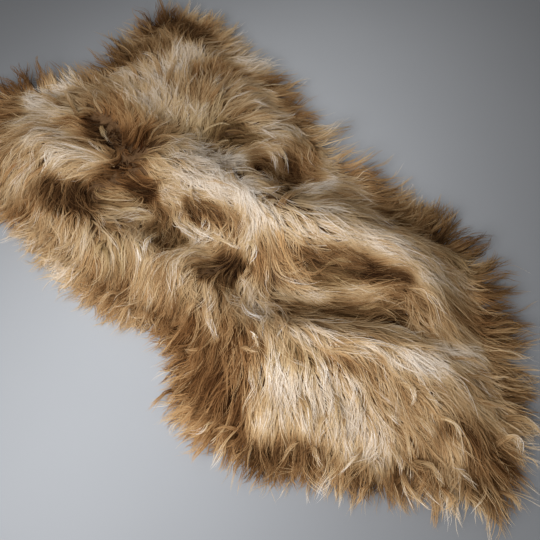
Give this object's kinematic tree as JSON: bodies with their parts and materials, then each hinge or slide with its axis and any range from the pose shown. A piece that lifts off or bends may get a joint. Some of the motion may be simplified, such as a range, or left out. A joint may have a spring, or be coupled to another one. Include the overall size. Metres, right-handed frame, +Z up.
{
  "type": "sheepskin rug",
  "caption": "Long-wool sheepskin rug lying on a floor in one long soft fold and a shorter one, with pointed locks standing out round its rim.",
  "frame": {"origin": "on the floor, under the middle of the overall box, tips of the rim locks included", "axes": "+Y along the back of the hide towards its neck end, +X across it to the right seen from above with the neck away, +Z up"},
  "size_m": [0.6528, 1.1918, 0.1321],
  "materials": {
    "wool": "long wavy undyed wool, cream tips over brown, matte with a soft sheen",
    "hide": "suede-like tanned skin side, matte"
  },
  "bodies": {
    "root": {"sheepskin": "wool"}
  },
  "joints": []
}
